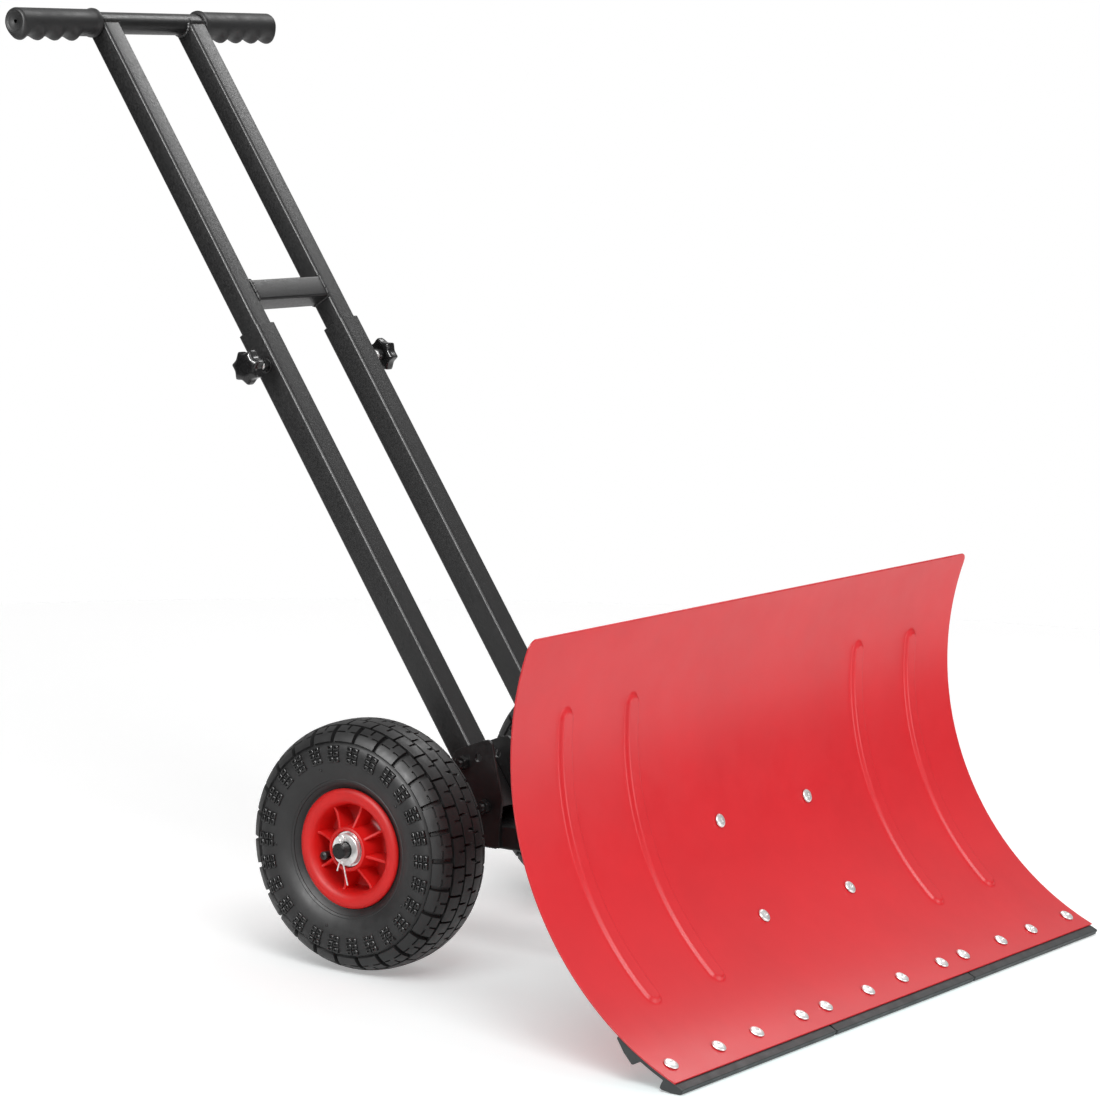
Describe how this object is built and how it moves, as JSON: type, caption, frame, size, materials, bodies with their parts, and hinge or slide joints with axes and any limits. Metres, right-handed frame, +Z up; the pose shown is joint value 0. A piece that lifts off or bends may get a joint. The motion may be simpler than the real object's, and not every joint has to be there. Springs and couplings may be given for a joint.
{
  "type": "wheeled snow shovel",
  "caption": "Wheeled snow shovel: curved steel blade with a rubber scraper edge, level frame on pneumatic wheels, and a sliding T-handle held by clamp knobs.",
  "frame": {"origin": "on the ground under the middle of the whole object", "axes": "+Z up, -Y forward from the handle to the blade, +X to the left of the person pushing"},
  "size_m": [0.812, 1.0082, 0.9573],
  "materials": {
    "blade_paint": "satin red powder coat on sheet steel",
    "frame_paint": "satin black powder coat with fine orange peel",
    "rim_plastic": "glossy moulded red plastic",
    "knob_plastic": "semi-gloss moulded black plastic",
    "grip_foam": "matt black soft plastic",
    "tyre": "matt moulded rubber with block tread",
    "tube_rubber": "matt butyl rubber",
    "scraper_rubber": "matt dark grey extruded rubber",
    "zinc_steel": "bright zinc plate",
    "bearing_steel": "ground bearing steel"
  },
  "bodies": {
    "frame": {"blade": "blade_paint", "scraper_right": "scraper_rubber", "scraper_bolt_right_1": "zinc_steel", "scraper_bolt_right_2": "zinc_steel", "scraper_bolt_right_3": "zinc_steel", "scraper_bolt_right_4": "zinc_steel", "scraper_centre": "scraper_rubber", "scraper_bolt_centre_1": "zinc_steel", "scraper_bolt_centre_2": "zinc_steel", "scraper_bolt_centre_3": "zinc_steel", "scraper_bolt_centre_4": "zinc_steel", "scraper_left": "scraper_rubber", "scraper_bolt_left_1": "zinc_steel", "scraper_bolt_left_2": "zinc_steel", "scraper_bolt_left_3": "zinc_steel", "scraper_bolt_left_4": "zinc_steel", "blade_bolt_left_lower": "zinc_steel", "blade_nut_left_lower": "zinc_steel", "rail_bolt_left_lower": "zinc_steel", "rail_nut_left_lower": "zinc_steel", "blade_bolt_left_upper": "zinc_steel", "blade_nut_left_upper": "zinc_steel", "rail_bolt_left_upper": "zinc_steel", "rail_nut_left_upper": "zinc_steel", "lower_rail_left": "frame_paint", "washer_left": "zinc_steel", "split_pin_left": "zinc_steel", "blade_bolt_right_lower": "zinc_steel", "blade_nut_right_lower": "zinc_steel", "rail_bolt_right_lower": "zinc_steel", "rail_nut_right_lower": "zinc_steel", "blade_bolt_right_upper": "zinc_steel", "blade_nut_right_upper": "zinc_steel", "rail_bolt_right_upper": "zinc_steel", "rail_nut_right_upper": "zinc_steel", "lower_rail_right": "frame_paint", "washer_right": "zinc_steel", "split_pin_right": "zinc_steel", "base_frame": "frame_paint", "axle": "frame_paint"},
    "wheel_left": {"tyre_left": "tyre", "inner_tube_left": "tube_rubber", "valve_left": "tube_rubber", "rim_outer_left": "rim_plastic", "rim_inner_left": "rim_plastic", "bearing_outer_left": "bearing_steel", "bearing_inner_left": "bearing_steel"},
    "wheel_right": {"tyre_right": "tyre", "inner_tube_right": "tube_rubber", "valve_right": "tube_rubber", "rim_outer_right": "rim_plastic", "rim_inner_right": "rim_plastic", "bearing_outer_right": "bearing_steel", "bearing_inner_right": "bearing_steel"},
    "handle": {"handle_frame": "frame_paint", "grip_left": "grip_foam", "grip_right": "grip_foam"},
    "knob_left": {"clamp_knob_left": "knob_plastic"},
    "knob_right": {"clamp_knob_right": "knob_plastic"}
  },
  "joints": [
    {"name": "wheel_left_spin", "type": "hinge", "parent": "frame", "child": "wheel_left", "pos_m": [0.204, 0.00413, 0.127], "axis": [1, 0, 0], "continuous": true},
    {"name": "wheel_right_spin", "type": "hinge", "parent": "frame", "child": "wheel_right", "pos_m": [-0.204, 0.00413, 0.127], "axis": [1, 0, 0], "continuous": true},
    {"name": "handle_slide", "type": "slide", "parent": "frame", "child": "handle", "axis": [0, 0.5678, 0.8231], "range_m": [-0.024, 0.12]},
    {"name": "clamp_knob_left_turn", "type": "hinge", "parent": "frame", "child": "knob_left", "pos_m": [0.108, 0.24028, 0.58712], "axis": [1, 0, 0], "range_deg": [0, 360]},
    {"name": "clamp_knob_right_turn", "type": "hinge", "parent": "frame", "child": "knob_right", "pos_m": [-0.108, 0.24028, 0.58712], "axis": [-1, 0, 0], "range_deg": [0, 360]}
  ]
}
